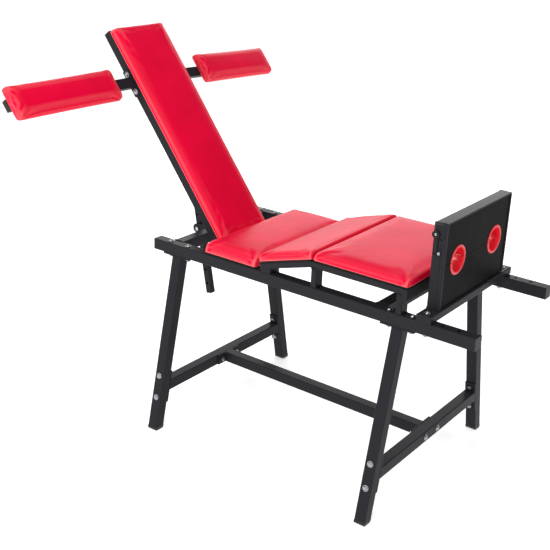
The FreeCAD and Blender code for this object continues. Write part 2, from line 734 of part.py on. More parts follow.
def calf_frame():
    """Two level flat tubes, a rung at the ridge and a deep bar at the foot end."""
    z = (LEG_FRAME_TOP - FLAT, LEG_FRAME_TOP)
    end = CALF_X[1] - END_BAR_T
    side = tube((CALF_X[0], end), (RAIL_INNER_Y, RAIL_OUTER_Y), z, 0)
    rung = tube((CALF_X[0], CALF_X[0] + TUBE), (-RAIL_INNER_Y, RAIL_INNER_Y), z, 1)
    deep = tube((end, CALF_X[1]), (-RAIL_OUTER_Y, RAIL_OUTER_Y), (LEG_FRAME_TOP - TUBE, LEG_FRAME_TOP), 1)
    return both_sides(side) + [rung, deep]


def calf_bar_caps():
    end = CALF_X[1] - END_BAR_T
    stem = box((end + WALL, CALF_X[1] - WALL), (RAIL_OUTER_Y - 10, RAIL_OUTER_Y),
               (LEG_FRAME_TOP - TUBE + WALL, LEG_FRAME_TOP - WALL))
    face = box((end, CALF_X[1]), (RAIL_OUTER_Y, RAIL_OUTER_Y + 2), (LEG_FRAME_TOP - TUBE, LEG_FRAME_TOP))
    return both_sides(round_edges(face, CORNER, 1).fuse(stem))


def pad_posts():
    """Four short flat-tube posts that carry the leg rest on the rails."""
    posts = []
    for x in POST_X:
        post = tube((x - FLAT / 2, x + FLAT / 2), (RAIL_INNER_Y, RAIL_OUTER_Y),
                    (RAIL_TOP, LEG_FRAME_TOP - FLAT), 2)
        posts.extend(both_sides(post))
    return posts


def calf_board():
    return box((CALF_X[0] + 5, CALF_X[1] - 5), (6 - PAD_Y, PAD_Y - 6),
               (LEG_FRAME_TOP, LEG_FRAME_TOP + LEG_BOARD_T))


def calf_pad():
    low = LEG_FRAME_TOP + LEG_BOARD_T
    return soft(box((RIDGE_X + 3, CALF_X[1]), (-PAD_Y, PAD_Y), (low, low + LEG_PAD_T)))


# === ankle board ===========================================================
def board_base():
    """Flat tube across both rails, bolted down through one hole of each rail."""
    bar = tube(BASE_X, (-RAIL_OUTER_Y, RAIL_OUTER_Y), (RAIL_TOP, BASE_TOP), 1)
    for side in (-1, 1):
        bar = drill(bar, (BASE_BOLT_X, side * RAIL_MID_Y, RAIL_TOP - 1), (0, 0, 1), BOLT_HOLE_R, BASE_H + 2)
    return bar


def base_end_caps():
    face = box(BASE_X, (RAIL_OUTER_Y, RAIL_OUTER_Y + CAP_T), (RAIL_TOP + 0.5, BASE_TOP))
    stem = box((BASE_X[0] + WALL, BASE_X[1] - WALL), (RAIL_OUTER_Y - 10, RAIL_OUTER_Y),
               (RAIL_TOP + WALL, BASE_TOP - WALL))
    return both_sides(round_edges(face, 2, 1).fuse(stem))


def board_bolts():
    """A bolt down through the base and each rail."""
    return both_sides(placed_bolt((BASE_BOLT_X, RAIL_MID_Y, BASE_TOP), (0, 0, 1), BASE_H + TUBE))


def board_post():
    return tube(BOARD_POST_X, (BOARD_Y - BOARD_POST_Y, BOARD_Y), (BASE_TOP, POST_TOP), 2)


def panel(z0, z1):
    """Board half with a half-round notch for each ankle hole."""
    shape = box(PANEL_X, (RIM_W - BOARD_Y, BOARD_Y - RIM_W), (z0, z1))
    for side in (-1, 1):
        shape = drill(shape, (PANEL_X[0] - 1, side * HOLE_Y, SPLIT_Z), (1, 0, 0), HOLE_R, 20)
    return shape


def lower_panel():
    return panel(PANEL_FOOT, SPLIT_Z - SPLIT_GAP)


def upper_panel():
    return panel(SPLIT_Z + SPLIT_GAP, TOP_BAR_Z[1] - RIM_W)


def rim_strip(y, z):
    """Length of the thin steel strip that frames the panel and stands proud of it."""
    return box((PANEL_X[0], PANEL_X[1] + RIM_PROUD), y, z)


def lower_rim():
    return both_sides(rim_strip((BOARD_Y - RIM_W, BOARD_Y), (PANEL_FOOT, SPLIT_Z - SPLIT_GAP)))


def upper_rim():
    side = rim_strip((BOARD_Y - RIM_W, BOARD_Y), (SPLIT_Z + SPLIT_GAP, TOP_BAR_Z[1]))
    top = rim_strip((-BOARD_Y, BOARD_Y), (TOP_BAR_Z[1] - RIM_W, TOP_BAR_Z[1]))
    frame = top.fuse(both_sides(side)).removeSplitter()
    corners = [edge for edge in frame.Edges
               if abs(edge.BoundBox.YLength) < 1e-6 and abs(edge.BoundBox.ZLength) < 1e-6
               and abs(edge.BoundBox.YMin) > BOARD_Y - 1e-6 and edge.BoundBox.ZMin > TOP_BAR_Z[1] - 1e-6]
    return frame.makeFillet(RIM_CORNER, corners)


def half_sleeve(side, upper):
    """Half of the padded lining of one ankle hole, with a rim on both faces."""
    y = side * HOLE_Y
    length = PANEL_X[1] - SLEEVE_REAR_X
    body = cylinder((SLEEVE_REAR_X, y, SPLIT_Z), (1, 0, 0), SLEEVE_OUT_R, length)
    front = cylinder((PANEL_X[1], y, SPLIT_Z), (1, 0, 0), SLEEVE_RIM_R, SLEEVE_RIM_T)
    body = body.fuse(front)
    body = drill(body, (SLEEVE_REAR_X - 1, y, SPLIT_Z), (1, 0, 0), SLEEVE_IN_R, length + 10)
    if upper:
        z = (SPLIT_Z + SPLIT_GAP, SPLIT_Z + 80)
    else:
        z = (SPLIT_Z - 80, SPLIT_Z - SPLIT_GAP)
    return body.common(box((SLEEVE_REAR_X - 5, PANEL_X[1] + 10), (y - 80, y + 80), z))


def top_bar():
    """Bar that carries the upper half of the board."""
    return tube(TOP_BAR_X, (CAP_T - BOARD_Y, BOARD_Y - CAP_T), TOP_BAR_Z, 1, corner=TOP_BAR_CORNER)


def top_bar_caps():
    """End plugs of the top bar, as deep as the posts under them."""
    inner = BOARD_Y - CAP_T
    face = round_edges(box(BOARD_POST_X, (inner, BOARD_Y), TOP_BAR_Z), TOP_CAP_CORNER, 1)
    stem = box((TOP_BAR_X[0] + WALL, TOP_BAR_X[1] - WALL), (inner - 10, inner),
               (TOP_BAR_Z[0] + WALL, TOP_BAR_Z[1] - WALL))
    far = face.fuse(stem)
    near = drill(mirrored(far), (LATCH_PIVOT[0], -BOARD_Y - 1, LATCH_PIVOT[1]), (0, 1, 0), STUD_R, 20)
    return [far, near]


# === board hinge and latch =================================================
def knuckle(x0, x1, bore):
    z = POST_TOP + LEAF_T
    shape = cylinder((x0, BOARD_HINGE_Y, z), (1, 0, 0), KNUCKLE_R, x1 - x0)
    return drill(shape, (x0 - 1, BOARD_HINGE_Y, z), (1, 0, 0), bore, x1 - x0 + 2)


def hinge_leaf(z0, z1):
    return box(TOP_BAR_X, (BOARD_Y - BOARD_POST_Y + 4, BOARD_HINGE_Y - KNUCKLE_R), (z0, z1))


def board_hinge_lower():
    """Leaf on the far post with the middle knuckle and the hinge pin."""
    third = (TOP_BAR_X[1] - TOP_BAR_X[0]) / 3
    x0 = TOP_BAR_X[0] + third
    x1 = TOP_BAR_X[1] - third
    z = POST_TOP + LEAF_T
    leaf = hinge_leaf(POST_TOP, z)
    tab = box((x0, x1), (BOARD_HINGE_Y - KNUCKLE_R - 1, BOARD_HINGE_Y), (POST_TOP, z))
    pin = cylinder((TOP_BAR_X[0] - 1, BOARD_HINGE_Y, z), (1, 0, 0), HINGE_PIN_R,
                   TOP_BAR_X[1] - TOP_BAR_X[0] + 2)
    solid = knuckle(x0, x1, HINGE_PIN_R)
    return leaf.fuse([tab, solid, pin]).removeSplitter()


def board_hinge_upper():
    """Leaf under the top bar with the two outer knuckles."""
    third = (TOP_BAR_X[1] - TOP_BAR_X[0]) / 3
    z = POST_TOP + LEAF_T
    shape = hinge_leaf(z + 0.05, TOP_BAR_Z[0])
    for x0, x1 in ((TOP_BAR_X[0], TOP_BAR_X[0] + third - 0.4),
                   (TOP_BAR_X[1] - third + 0.4, TOP_BAR_X[1])):
        tab = box((x0, x1), (BOARD_HINGE_Y - KNUCKLE_R - 1, BOARD_HINGE_Y), (z + 0.05, TOP_BAR_Z[0]))
        bore = cylinder((x0 - 1, BOARD_HINGE_Y, z), (1, 0, 0), HINGE_PIN_R + RUN_GAP, x1 - x0 + 2)
        shape = shape.fuse([tab.cut(bore), knuckle(x0, x1, HINGE_PIN_R + RUN_GAP)])
    return shape.removeSplitter()


def latch_hook():
    """Flat gate hook that hangs from the top bar's near end, beside its stud."""
    px, pz = LATCH_PIVOT
    y0 = -BOARD_Y - 1 - LATCH_T
    y1 = -BOARD_Y - 1
    low = pz - LATCH_REACH - 9
    outline = [(px - LATCH_HALF, pz), (px + LATCH_HALF, pz), (px + LATCH_HALF, low + 4),
               (px + 2, low), (px - 2, low), (px - LATCH_HALF, low + 4)]
    hook = prism_xz(outline, y0, y1)
    hook = hook.fuse(cylinder((px, y0, pz), (0, 1, 0), LATCH_HALF, LATCH_T))
    hook = drill(hook, (px, y0 - 1, pz), (0, 1, 0), STUD_R + RUN_GAP, LATCH_T + 2)
    z = pz - LATCH_REACH
    notch = box((px, px + 20), (y0 - 1, y1 + 1), (z - STUD_R - 0.6, z + STUD_R + 0.9))
    notch = notch.fuse(cylinder((px, y0 - 1, z), (0, 1, 0), STUD_R + 0.5, LATCH_T + 2))
    return hook.cut(notch).removeSplitter()


def headed_stud(x, z, inside, head_r):
    """Shouldered stud that stands out of the near face."""
    stem = cylinder((x, inside - BOARD_Y, z), (0, -1, 0), STUD_R, inside + 1.3 + LATCH_T)
    head = cylinder((x, -BOARD_Y - 1.3 - LATCH_T, z), (0, -1, 0), head_r, 3)
    return stem.fuse(head)


def latch_screw():
    return headed_stud(LATCH_PIVOT[0], LATCH_PIVOT[1], 8, SCREW_HEAD_R)


def latch_stud():
    angle = math.radians(LATCH_ANGLE)
    x = LATCH_PIVOT[0] + LATCH_REACH * math.sin(angle)
    z = LATCH_PIVOT[1] - LATCH_REACH * math.cos(angle)
    return headed_stud(x, z, 0, STUD_HEAD_R)


# === write every node ======================================================
def main():
    os.makedirs("parts", exist_ok=True)
    rail = side_rail()
    export("side_rail_far", rail)
    export("side_rail_near", mirrored(rail))
    export("rail_end_caps", rail_end_caps())
    for name, x in (("rear", LEG_X[0]), ("front", LEG_X[1])):
        export("legs_%s" % name, [half for shape in leg(x) for half in both_sides(shape)])
        export("lower_crossbar_%s" % name, lower_crossbar(x))
    export("foot_caps", foot_caps())
    export("leg_bolts", leg_bolts())
    export("lower_bolts", crossbar_bolts() + stretcher_bolts())
    export("stretcher", stretcher())
    export("rear_crossbar", rail_crossbar(REAR_BAR_X))
    export("seat_crossbar", rail_crossbar(SEAT_BAR_X))
    export("front_crossbar", rail_crossbar(FRONT_BAR_X))
    export("hinge_lugs", hinge_lugs())
    export("hinge_rod", hinge_rod())
    export("strut_cheeks", strut_cheeks())
    export("lock_pin", lock_pin())
    export("lock_nut", lock_nut())
    export("back_side_tubes", back_side_tubes())
    export("back_cross_tubes", back_cross_tubes())
    export("back_hinge_barrels", back_hinge_barrels())
    export("back_board", back_board())
    export("back_pad", back_pad())
    export("strut", strut())
    export("strut_end_cap", strut_end_cap())
    export("strut_pivot_bolt", strut_pivot_bolt())
    for name, side in (("near", -1), ("far", 1)):
        export("arm_bar_%s" % name, arm_bar(side))
        export("arm_pad_%s" % name, arm_pad(side))
    export("arm_bar_caps", [arm_bar_cap(-1), arm_bar_cap(1)])
    export("arm_boards", [arm_board(-1), arm_board(1)])
    export("arm_bolts", arm_bolts())
    export("seat_board", seat_board())
    export("seat_pad", seat_pad())
    export("thigh_frame", thigh_frame())
    export("thigh_pad", thigh_pad())
    export("calf_frame", calf_frame())
    export("pad_posts", pad_posts())
    export("leg_boards", [thigh_board(), calf_board()])
    export("calf_pad", calf_pad())
    export("board_base", board_base())
    export("small_end_caps", calf_bar_caps() + base_end_caps())
    export("board_bolts", board_bolts())
    export("board_posts", both_sides(board_post()))
    export("lower_panel", lower_panel())
    export("upper_panel", upper_panel())
    export("lower_rim", lower_rim())
    export("upper_rim", upper_rim())
    export("lower_sleeves", [half_sleeve(-1, False), half_sleeve(1, False)])
    export("upper_sleeves", [half_sleeve(-1, True), half_sleeve(1, True)])
    export("top_bar", top_bar())
    export("top_bar_caps", top_bar_caps())
    export("board_hinge_lower", board_hinge_lower())
    export("board_hinge_upper", board_hinge_upper())
    export("latch_hook", latch_hook())
    export("latch_screw", latch_screw())
    export("latch_stud", latch_stud())


main()
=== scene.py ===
import json
import math

import bmesh
import bpy
from mathutils import Matrix, Vector, noise


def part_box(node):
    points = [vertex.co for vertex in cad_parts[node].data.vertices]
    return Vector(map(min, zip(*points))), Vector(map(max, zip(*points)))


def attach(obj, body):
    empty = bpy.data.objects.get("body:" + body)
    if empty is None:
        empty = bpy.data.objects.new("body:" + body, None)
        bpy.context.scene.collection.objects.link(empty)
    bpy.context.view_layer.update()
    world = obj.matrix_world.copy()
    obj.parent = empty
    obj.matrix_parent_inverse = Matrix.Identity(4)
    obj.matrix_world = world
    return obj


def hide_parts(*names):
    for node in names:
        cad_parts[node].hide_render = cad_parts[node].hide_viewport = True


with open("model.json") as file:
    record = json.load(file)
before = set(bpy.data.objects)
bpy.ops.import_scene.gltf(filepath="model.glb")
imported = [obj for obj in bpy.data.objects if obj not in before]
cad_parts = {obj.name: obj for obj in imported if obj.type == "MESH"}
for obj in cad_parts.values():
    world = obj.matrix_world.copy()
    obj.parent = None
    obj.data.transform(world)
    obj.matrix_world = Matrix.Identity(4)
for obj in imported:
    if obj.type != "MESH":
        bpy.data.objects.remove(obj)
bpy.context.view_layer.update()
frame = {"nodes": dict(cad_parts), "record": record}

# Padded steel bench with a reclining back, arm rests, a ridged leg rest and an
# ankle board. The CAD frame carries every hard part; this script dresses it,
# makes the upholstery and the small details, and lights the scene.

NODES = frame["nodes"]

BACK_LEAN = math.radians(38.0)
ARM_FAR_YAW = math.radians(5.3)
LEG_TOP_Y = 0.253       # centre of a leg under its rail
THIGH_ANGLE = math.atan(0.296)

UP_SLOPE = Vector((-math.sin(BACK_LEAN), 0, math.cos(BACK_LEAN)))
OUT_SLOPE = Vector((math.cos(BACK_LEAN), 0, math.sin(BACK_LEAN)))

# Upholstery, in metres.
SIDE_PULL = 0.0012      # how far a pad's sides draw in between its corners
PAD_SHRINK = 0.0008     # a pad starts this much inside its CAD outline
CROWN_RUN = 0.035       # distance over which a pad's top rises to its crown
GRID_STEP = 0.0070      # mesh size on a pad's flats
EDGE_STEPS = 3          # mesh steps round a pad's rounded edge
PRESSURE = 4.0
SIM_FRAMES = 20
SWELL_CAP = 0.0022      # the most that pressure moves the vinyl
HELD_HEIGHT = 0.0025    # vinyl below this is stapled down
MARK_DEPTH = 0.0008
MARK_FROM = 0.006       # height above which foam waves show
FOLD_DEPTH = 0.0020
FOLD_FROM = 0.004       # height above which corner pleats show
FOLD_REACH = 0.034      # how far pleats run from a corner
FOLD_CLEAR = 0.012      # the corner itself stays smooth within about this
PLEATS = ((0.55, 0.16, 1.0), (1.05, 0.13, 0.8))     # direction, width and share of each

# Lining of an ankle hole, in metres.
LINING_INNER = 0.0385
LINING_OUTER = 0.0437
LINING_LIP = 0.0475
LINING_CHAMFER = 0.0012
LINING_ROLL = 0.0026    # how far the rolled lip stands out
LINING_GAP = 0.0006     # from the split plane to each half
LINING_STEPS = 40

# Welds and small hardware, in metres.
BEAD_RADIUS = 0.0027
BEAD_STEP = 0.0013
BEAD_SIDES = 8
RIPPLE_LENGTH = 0.0042
TUBE_HALF = 0.020       # half of the main square tube
RUNG_HALF = 0.015       # half of the back's rungs
FLANGE_HALF = 0.010     # half of an arm bar's flange, across the back's tube
POST_HALF = 0.010       # half of a pad post
BOARD_POST_WIDTH = 0.030
PLATE_THICK = 0.0009
PLATE_CORNER = 0.003
SCREW_PROFILE = ((0.0046, 0.0), (0.0048, 0.0008), (0.0044, 0.0019), (0.0034, 0.0027),
                 (0.0024, 0.0030), (0.0021, 0.0029), (0.0019, 0.0014), (0.0004, 0.0012))
KNOB_PROFILE = ((0.0112, 0.0), (0.0118, 0.0010), (0.0118, 0.0040), (0.0108, 0.0052),
                (0.0092, 0.0056), (0.0082, 0.0050), (0.0076, 0.0030), (0.0056, 0.0028),
                (0.0006, 0.0028))

# Edge angles at which shading splits, in degrees.
CAD_SPLIT = 28
LINING_SPLIT = 50
HARDWARE_SPLIT = 40

FLOOR_HALF = 40.0
FLOOR_DROP = 0.0002     # the floor lies this far under the feet


# === small helpers =========================================================
def box_of(name):
    low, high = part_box(name)
    return Vector(low), Vector(high)


def middle(name):
    low, high = box_of(name)
    return (low + high) / 2


def new_object(name, mesh, body):
    piece = bpy.data.objects.new(name, mesh)
    bpy.context.scene.collection.objects.link(piece)
    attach(piece, body)
    return piece


def mesh_from(name, vertices, faces, smooth=True):
    mesh = bpy.data.meshes.new(name)
    mesh.from_pydata([tuple(v) for v in vertices], [], faces)
    mesh.validate()
    mesh.update()
    for polygon in mesh.polygons:
        polygon.use_smooth = smooth
    return mesh


def crisp_edges(piece, degrees):
    split = piece.modifiers.new("crisp_edges", "EDGE_SPLIT")
    split.split_angle = math.radians(degrees)


def local_box(node, turn):
    """Extents of a CAD node in a turned frame, whose matrix maps local to the bench's."""
    back = turn.inverted()
    points = [back @ v.co for v in NODES[node].data.vertices]
    low = Vector([min(p[i] for p in points) for i in range(3)])
    high = Vector([max(p[i] for p in points) for i in range(3)])
    return low, high


# === materials =============================================================
def start_material(name):
    material = bpy.data.materials.new(name)
    material.use_nodes = True
    tree = material.node_tree
    shader = tree.nodes["Principled BSDF"]
    return material, tree, shader


def add(tree, kind, **values):
    node = tree.nodes.new(kind)
    for key, value in values.items():
        if hasattr(node, key):
            setattr(node, key, value)
        else:
            node.inputs[key].default_value = value
    return node


def object_point(tree, stretch=(1.0, 1.0, 1.0)):
    """Object coordinates, stretched along each axis."""
    source = add(tree, "ShaderNodeTexCoord")
    mapping = add(tree, "ShaderNodeMapping")
    mapping.inputs["Scale"].default_value = stretch
    tree.links.new(source.outputs["Object"], mapping.inputs["Vector"])
    return mapping.outputs["Vector"]


def noise_value(tree, point, scale, detail=4.0, roughness=0.55):
    texture = add(tree, "ShaderNodeTexNoise")
    texture.inputs["Scale"].default_value = scale
    texture.inputs["Detail"].default_value = detail
    texture.inputs["Roughness"].default_value = roughness
    tree.links.new(point, texture.inputs["Vector"])
    return texture.outputs["Fac"]


def ramp(tree, value, stops):
    """Colour ramp over (position, colour) stops."""
    node = add(tree, "ShaderNodeValToRGB")
    elements = node.color_ramp.elements
    while len(elements) < len(stops):
        elements.new(0.5)
    for element, (position, colour) in zip(elements, stops):
        element.position = position
        element.color = (*colour, 1.0)
    tree.links.new(value, node.inputs["Fac"])
    return node.outputs["Color"]


def span(tree, value, low, high):
    """A 0 to 1 value mapped to the range low to high."""
    node = add(tree, "ShaderNodeMapRange")
    node.inputs["To Min"].default_value = low
    node.inputs["To Max"].default_value = high
    tree.links.new(value, node.inputs["Value"])
    return node.outputs["Result"]


def mix_colour(tree, factor, first, second):
    node = add(tree, "ShaderNodeMix", data_type="RGBA")
    inputs = [s for s in node.inputs if s.enabled]
    outputs = [s for s in node.outputs if s.enabled]
    for socket, source in zip(inputs, (factor, first, second)):
        if isinstance(source, tuple):
            socket.default_value = (*source, 1.0)
        elif isinstance(source, float):
            socket.default_value = source
        else:
            tree.links.new(source, socket)
    return outputs[0]


def edge_wear_and_highlight_mask(tree, low, high):
    """Near 1 on sharp outer edges and 0 on flats; used for worn edges on the frame and board, and for
    the vinyl's painted crest highlight.
    """
    geometry = add(tree, "ShaderNodeNewGeometry")
    node = add(tree, "ShaderNodeMapRange")
    node.inputs["From Min"].default_value = low
    node.inputs["From Max"].default_value = high
    tree.links.new(geometry.outputs["Pointiness"], node.inputs["Value"])
    return node.outputs["Result"]


def bump(tree, shader, height, strength, distance, round_edges=0.0):
    node = add(tree, "ShaderNodeBump")
    node.inputs["Strength"].default_value = strength
    node.inputs["Distance"].default_value = distance
    tree.links.new(height, node.inputs["Height"])
    if round_edges:
        bevel = add(tree, "ShaderNodeBevel", samples=4)
        bevel.inputs["Radius"].default_value = round_edges
        tree.links.new(bevel.outputs["Normal"], node.inputs["Normal"])
    tree.links.new(node.outputs["Normal"], shader.inputs["Normal"])


def link_roughness(tree, shader, value, low, high):
    tree.links.new(span(tree, value, low, high), shader.inputs["Roughness"])


def vinyl_material():
    """Red upholstery vinyl: fine pebbled grain, soft sheen, and a painted highlight in paler pink on
    the rounded crests.
    """
    material, tree, shader = start_material("red_vinyl")
    point = object_point(tree)
    broad = noise_value(tree, point, 7.0, 3.0)
    fine = noise_value(tree, point, 180.0, 5.0, 0.6)
    colour = ramp(tree, broad, [(0.30, (0.76, 0.0008, 0.036)),
                                (0.70, (0.88, 0.0014, 0.046))])
    # Painted highlight: the rounded crests are coloured a paler pink in place of the sheen a lamp
    # would put there.
    wear_and_highlight = mix_colour(tree, edge_wear_and_highlight_mask(tree, 0.502, 0.526), colour, (0.95, 0.115, 0.130))
    tree.links.new(wear_and_highlight, shader.inputs["Base Color"])
    cells = add(tree, "ShaderNodeTexVoronoi", feature="DISTANCE_TO_EDGE")
    cells.inputs["Scale"].default_value = 620.0
    tree.links.new(point, cells.inputs["Vector"])
    grain = add(tree, "ShaderNodeMath", operation="MULTIPLY_ADD")
    grain.inputs[1].default_value = 1.4
    tree.links.new(cells.outputs["Distance"], grain.inputs[0])
    tree.links.new(fine, grain.inputs[2])
    link_roughness(tree, shader, fine, 0.28, 0.42)
    shader.inputs["Specular IOR Level"].default_value = 0.06
    bump(tree, shader, grain.outputs["Value"], 0.10, 0.0006)
    return material


def lining_material():
    """Glossy red moulded lining of the ankle holes."""
    material, tree, shader = start_material("red_lining")
    point = object_point(tree)
    broad = noise_value(tree, point, 22.0, 3.0)
    fine = noise_value(tree, point, 260.0, 4.0)
    colour = ramp(tree, broad, [(0.3, (0.72, 0.006, 0.018)), (0.7, (0.88, 0.014, 0.034))])
    tree.links.new(colour, shader.inputs["Base Color"])
    link_roughness(tree, shader, fine, 0.26, 0.42)
    shader.inputs["Coat Weight"].default_value = 0.15
    shader.inputs["Coat Roughness"].default_value = 0.20
    bump(tree, shader, fine, 0.08, 0.0005)
    return material


def coat_material():
    """Black powder coat: fine orange peel, greyer scuffed edges."""
    material, tree, shader = start_material("black_frame")
    point = object_point(tree)
    broad = noise_value(tree, point, 9.0, 4.0)
    peel = noise_value(tree, point, 520.0, 3.0, 0.5)
    colour = ramp(tree, broad, [(0.30, (0.0028, 0.0028, 0.0038)),
                                (0.75, (0.0055, 0.0055, 0.0072))])
    wear_and_highlight = mix_colour(tree, edge_wear_and_highlight_mask(tree, 0.51, 0.60), colour, (0.022, 0.022, 0.026))
    tree.links.new(wear_and_highlight, shader.inputs["Base Color"])
    link_roughness(tree, shader, broad, 0.24, 0.36)
    shader.inputs["Specular IOR Level"].default_value = 0.042
    bump(tree, shader, peel, 0.16, 0.0006, 0.0012)
    return material


def plastic_material():
    """Black moulded plugs with a faint grain."""
    material, tree, shader = start_material("black_plastic")
    point = object_point(tree)
    broad = noise_value(tree, point, 40.0, 3.0)
    fine = noise_value(tree, point, 900.0, 2.0)
    colour = ramp(tree, broad, [(0.3, (0.006, 0.006, 0.007)), (0.7, (0.012, 0.012, 0.013))])
    tree.links.new(colour, shader.inputs["Base Color"])
    shader.inputs["Specular IOR Level"].default_value = 0.35
    link_roughness(tree, shader, fine, 0.42, 0.62)
    bump(tree, shader, fine, 0.25, 0.0004, 0.0008)
    return material


def panel_material():
    """Black painted sheet with fine upright brush marks and dusty scuffs."""
    material, tree, shader = start_material("black_panel")
    streaks = noise_value(tree, object_point(tree, (1.0, 1.0, 0.06)), 160.0, 5.0, 0.6)
    point = object_point(tree)
    broad = noise_value(tree, point, 6.0, 5.0, 0.65)
    fine = noise_value(tree, point, 480.0, 3.0)
    base = ramp(tree, broad, [(0.35, (0.0025, 0.0025, 0.003)), (0.75, (0.006, 0.006, 0.007))])
    dust = ramp(tree, streaks, [(0.60, (0.0, 0.0, 0.0)), (0.80, (0.30, 0.30, 0.30))])
    colour = mix_colour(tree, dust, base, (0.022, 0.022, 0.025))
    tree.links.new(colour, shader.inputs["Base Color"])
    link_roughness(tree, shader, streaks, 0.42, 0.62)
    shader.inputs["Specular IOR Level"].default_value = 0.035
    bump(tree, shader, fine, 0.18, 0.0005, 0.0008)
    return material


def board_material():
    """Black stained plywood behind the cushions."""
    material, tree, shader = start_material("black_board")
    grain = noise_value(tree, object_point(tree, (0.08, 1.0, 1.0)), 220.0, 6.0, 0.6)
    point = object_point(tree)
    broad = noise_value(tree, point, 12.0, 4.0)
    base = ramp(tree, grain, [(0.35, (0.006, 0.006, 0.006)), (0.70, (0.014, 0.013, 0.012))])
    wear_and_highlight = mix_colour(tree, edge_wear_and_highlight_mask(tree, 0.51, 0.60), base, (0.030, 0.026, 0.023))
    tree.links.new(wear_and_highlight, shader.inputs["Base Color"])
    shader.inputs["Specular IOR Level"].default_value = 0.3
    link_roughness(tree, shader, broad, 0.55, 0.75)
    bump(tree, shader, grain, 0.30, 0.0006, 0.0010)
    return material


def zinc_material():
    """Dull zinc plate with a slight mottle."""
    material, tree, shader = start_material("zinc_steel")
    point = object_point(tree)
    broad = noise_value(tree, point, 160.0, 4.0)
    fine = noise_value(tree, point, 900.0, 3.0)
    colour = ramp(tree, broad, [(0.3, (0.26, 0.27, 0.29)), (0.7, (0.46, 0.47, 0.49))])
    tree.links.new(colour, shader.inputs["Base Color"])
    shader.inputs["Metallic"].default_value = 1.0
    link_roughness(tree, shader, fine, 0.20, 0.40)
    bump(tree, shader, fine, 0.20, 0.0003, 0.0006)
    return material


def rod_material():
    """Plain turned steel with fine rings."""
    material, tree, shader = start_material("plain_steel")
    rings = noise_value(tree, object_point(tree, (0.1, 1.0, 0.1)), 900.0, 3.0)
    broad = noise_value(tree, object_point(tree), 60.0, 4.0)
    colour = ramp(tree, broad, [(0.3, (0.42, 0.42, 0.43)), (0.7, (0.60, 0.60, 0.61))])
    tree.links.new(colour, shader.inputs["Base Color"])
    shader.inputs["Metallic"].default_value = 1.0
    link_roughness(tree, shader, rings, 0.25, 0.45)
    bump(tree, shader, rings, 0.20, 0.0003)
    return material


def floor_material():
    material, tree, shader = start_material("studio_floor")
    point = object_point(tree)
    mottle = noise_value(tree, point, 3.0, 2.0)
    colour = ramp(tree, mottle, [(0.3, (0.95, 0.95, 0.95)), (0.7, (0.97, 0.97, 0.97))])
    tree.links.new(colour, shader.inputs["Base Color"])
    shader.inputs["Roughness"].default_value = 0.9
    shader.inputs["Specular IOR Level"].default_value = 0.1
    shader.inputs["Emission Color"].default_value = (1, 1, 1, 1)
    shader.inputs["Emission Strength"].default_value = 0.52
    return material


MATERIALS = {
    "red_vinyl": vinyl_material(),
    "red_lining": lining_material(),
    "black_frame": coat_material(),
    "black_plastic": plastic_material(),
    "black_panel": panel_material(),
    "black_board": board_material(),
    "zinc_steel": zinc_material(),
    "plain_steel": rod_material(),
}


def finish_piece(piece, slot, material=None):
    """Give a new piece its material, looked up by material or else by slot."""
    piece.data.materials.clear()
    piece.data.materials.append(MATERIALS[material or slot])


def dress_cad():
    """Procedural materials and clean shading on every CAD node."""
    for entry in frame["record"]["subparts"]:
        node = NODES[entry["node"]]
        for slot in node.material_slots:
            slot.material = MATERIALS[entry["material_slot"]]
        if not node.material_slots:
            node.data.materials.append(MATERIALS[entry["material_slot"]])
        for polygon in node.data.polygons:
            polygon.use_smooth = True
        crisp_edges(node, CAD_SPLIT)


# === upholstery ============================================================
def grid_lines(half, shoulder):
    """Positions across a pad: close over its rounded edges and even between them."""
    edge = [half - shoulder * (1 - math.sin(math.pi / 2 * k / EDGE_STEPS))
            for k in range(EDGE_STEPS, -1, -1)]
    flat = half - shoulder
    count = max(2, round(2 * flat / GRID_STEP))
    inner = [-flat + 2 * flat * k / count for k in range(1, count)]
    return [-e for e in edge] + inner + edge[::-1]


def rounded(corner, half, shoulder, thick):
    """Pull a point of the pad's box onto its rounded edges."""
    radius = (shoulder[0], shoulder[1], min(shoulder[2], thick))
    core = Vector((max(-half[0] + radius[0], min(half[0] - radius[0], corner.x)),
                   max(-half[1] + radius[1], min(half[1] - radius[1], corner.y)),
                   min(thick - radius[2], corner.z)))
    away = corner - core
    reach = math.sqrt(sum((away[i] / radius[i]) ** 2 for i in range(3)))
    return core + away / reach if reach > 1 else corner


def pad_point(corner, half, shoulder, thick, crown):
    """The stuffed pad's point for a point of its box: rounded, drawn in and crowned."""
    point = rounded(corner, half, shoulder, thick)
    inside = [max(0.0, half[i] - abs(point[i])) for i in range(2)]
    rise = (1 - math.exp(-inside[0] / CROWN_RUN)) * (1 - math.exp(-inside[1] / CROWN_RUN))
    share = max(0.0, point.z / thick)
    u, v = point.x / half[0], point.y / half[1]
    point.x *= 1 - (SIDE_PULL / half[0]) * (1 - v * v)
    point.y *= 1 - (SIDE_PULL / half[1]) * (1 - u * u)
    point.z += crown * rise * share
    return point


